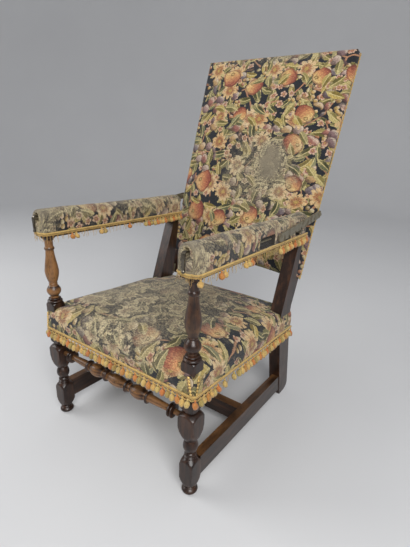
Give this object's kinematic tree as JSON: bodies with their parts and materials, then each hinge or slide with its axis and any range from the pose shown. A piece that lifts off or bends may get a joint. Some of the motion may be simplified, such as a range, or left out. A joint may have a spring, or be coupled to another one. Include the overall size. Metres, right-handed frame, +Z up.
{
  "type": "reclining armchair",
  "caption": "Antique-style reclining armchair: turned walnut posts, tapestry-covered seat, arms and tall hinged back, notched iron ratchet bars with release levers and tasselled fringe.",
  "frame": {"origin": "on the floor, under the middle of the chair's box", "axes": "+Z up, the sitter faces -Y, +X is the sitter's left"},
  "size_m": [0.6574, 0.988, 1.282],
  "materials": {
    "dark_walnut": "waxed, semi-gloss",
    "frame_beech": "plain, mostly covered",
    "wrought_iron": "forged, worn",
    "floral_tapestry": "woven, worn",
    "backing_linen": "plain weave",
    "gold_trim": "braided"
  },
  "bodies": {
    "frame": {"front_post_left": "dark_walnut", "front_post_right": "dark_walnut", "rear_post_left": "dark_walnut", "rear_post_right": "dark_walnut", "front_stretcher": "dark_walnut", "side_stretcher_left": "dark_walnut", "side_stretcher_right": "dark_walnut", "cross_stretcher": "dark_walnut", "seat_rail_front": "frame_beech", "seat_rail_rear": "frame_beech", "seat_rail_left": "frame_beech", "seat_rail_right": "frame_beech", "arm_rail_left": "frame_beech", "arm_rail_right": "frame_beech", "hinge_post_leaf_left": "wrought_iron", "hinge_post_leaf_right": "wrought_iron", "hinge_pin_left": "wrought_iron", "hinge_pin_right": "wrought_iron", "lever_pin_left": "wrought_iron", "lever_pin_right": "wrought_iron", "catch_pin_left": "wrought_iron", "catch_pin_right": "wrought_iron", "seat_pad": "floral_tapestry", "arm_pad_left": "floral_tapestry", "arm_pad_right": "floral_tapestry", "seat_webbing": "backing_linen", "seat_fringe": "gold_trim", "arm_fringe_left": "gold_trim", "arm_fringe_right": "gold_trim"},
    "back": {"back_stile_left": "dark_walnut", "back_stile_right": "dark_walnut", "back_rail_bottom": "frame_beech", "back_rail_middle": "frame_beech", "back_rail_top": "frame_beech", "back_pad": "floral_tapestry", "back_rear_cloth": "backing_linen", "hinge_stile_leaf_left": "wrought_iron", "hinge_stile_leaf_right": "wrought_iron", "ratchet_bolt_left": "wrought_iron", "ratchet_bolt_right": "wrought_iron"},
    "ratchet_left": {"ratchet_bar_left": "wrought_iron"},
    "lever_left": {"release_lever_left": "wrought_iron"},
    "rod_left": {"push_rod_left": "wrought_iron"},
    "catch_left": {"catch_left": "wrought_iron"},
    "ratchet_right": {"ratchet_bar_right": "wrought_iron"},
    "lever_right": {"release_lever_right": "wrought_iron"},
    "rod_right": {"push_rod_right": "wrought_iron"},
    "catch_right": {"catch_right": "wrought_iron"}
  },
  "joints": [
    {"name": "back_recline", "type": "hinge", "parent": "frame", "child": "back", "pos_m": [0, 0.13975, 0.384], "axis": [-1, 0, 0], "range_deg": [-4, 18]},
    {"name": "ratchet_swing_left", "type": "hinge", "parent": "back", "child": "ratchet_left", "pos_m": [0.3214, 0.27544, 0.70978], "axis": [-1, 0, 0], "range_deg": [-3, 0.8]},
    {"name": "release_left", "type": "hinge", "parent": "frame", "child": "lever_left", "pos_m": [0.2855, -0.45419, 0.7202], "axis": [1, 0, 0], "range_deg": [0, 8], "stiffness_Nm_per_rad": 0.6, "springref_deg": -8.59},
    {"name": "rod_slide_left", "type": "slide", "parent": "frame", "child": "rod_left", "axis": [0, 0.9995, -0.0314], "range_m": [0, 0.0036]},
    {"name": "catch_drop_left", "type": "hinge", "parent": "frame", "child": "catch_left", "pos_m": [0.3021, 0.08106, 0.66338], "axis": [-1, 0, 0], "range_deg": [0, 13.5]},
    {"name": "ratchet_swing_right", "type": "hinge", "parent": "back", "child": "ratchet_right", "pos_m": [-0.3214, 0.27544, 0.70978], "axis": [-1, 0, 0], "range_deg": [-3, 0.8]},
    {"name": "release_right", "type": "hinge", "parent": "frame", "child": "lever_right", "pos_m": [-0.2855, -0.45419, 0.7202], "axis": [1, 0, 0], "range_deg": [0, 8], "stiffness_Nm_per_rad": 0.6, "springref_deg": -8.59},
    {"name": "rod_slide_right", "type": "slide", "parent": "frame", "child": "rod_right", "axis": [0, 0.9995, -0.0314], "range_m": [0, 0.0036]},
    {"name": "catch_drop_right", "type": "hinge", "parent": "frame", "child": "catch_right", "pos_m": [-0.3021, 0.08106, 0.66338], "axis": [-1, 0, 0], "range_deg": [0, 13.5]}
  ],
  "couplings": [
    {"joint": "ratchet_swing_left", "follows": "back_recline", "ratio": -0.16},
    {"joint": "rod_slide_left", "follows": "release_left", "m_per_rad": 0.025},
    {"joint": "catch_drop_left", "follows": "release_left", "ratio": 1.6667},
    {"joint": "ratchet_swing_right", "follows": "back_recline", "ratio": -0.16},
    {"joint": "rod_slide_right", "follows": "release_right", "m_per_rad": 0.025},
    {"joint": "catch_drop_right", "follows": "release_right", "ratio": 1.6667}
  ]
}
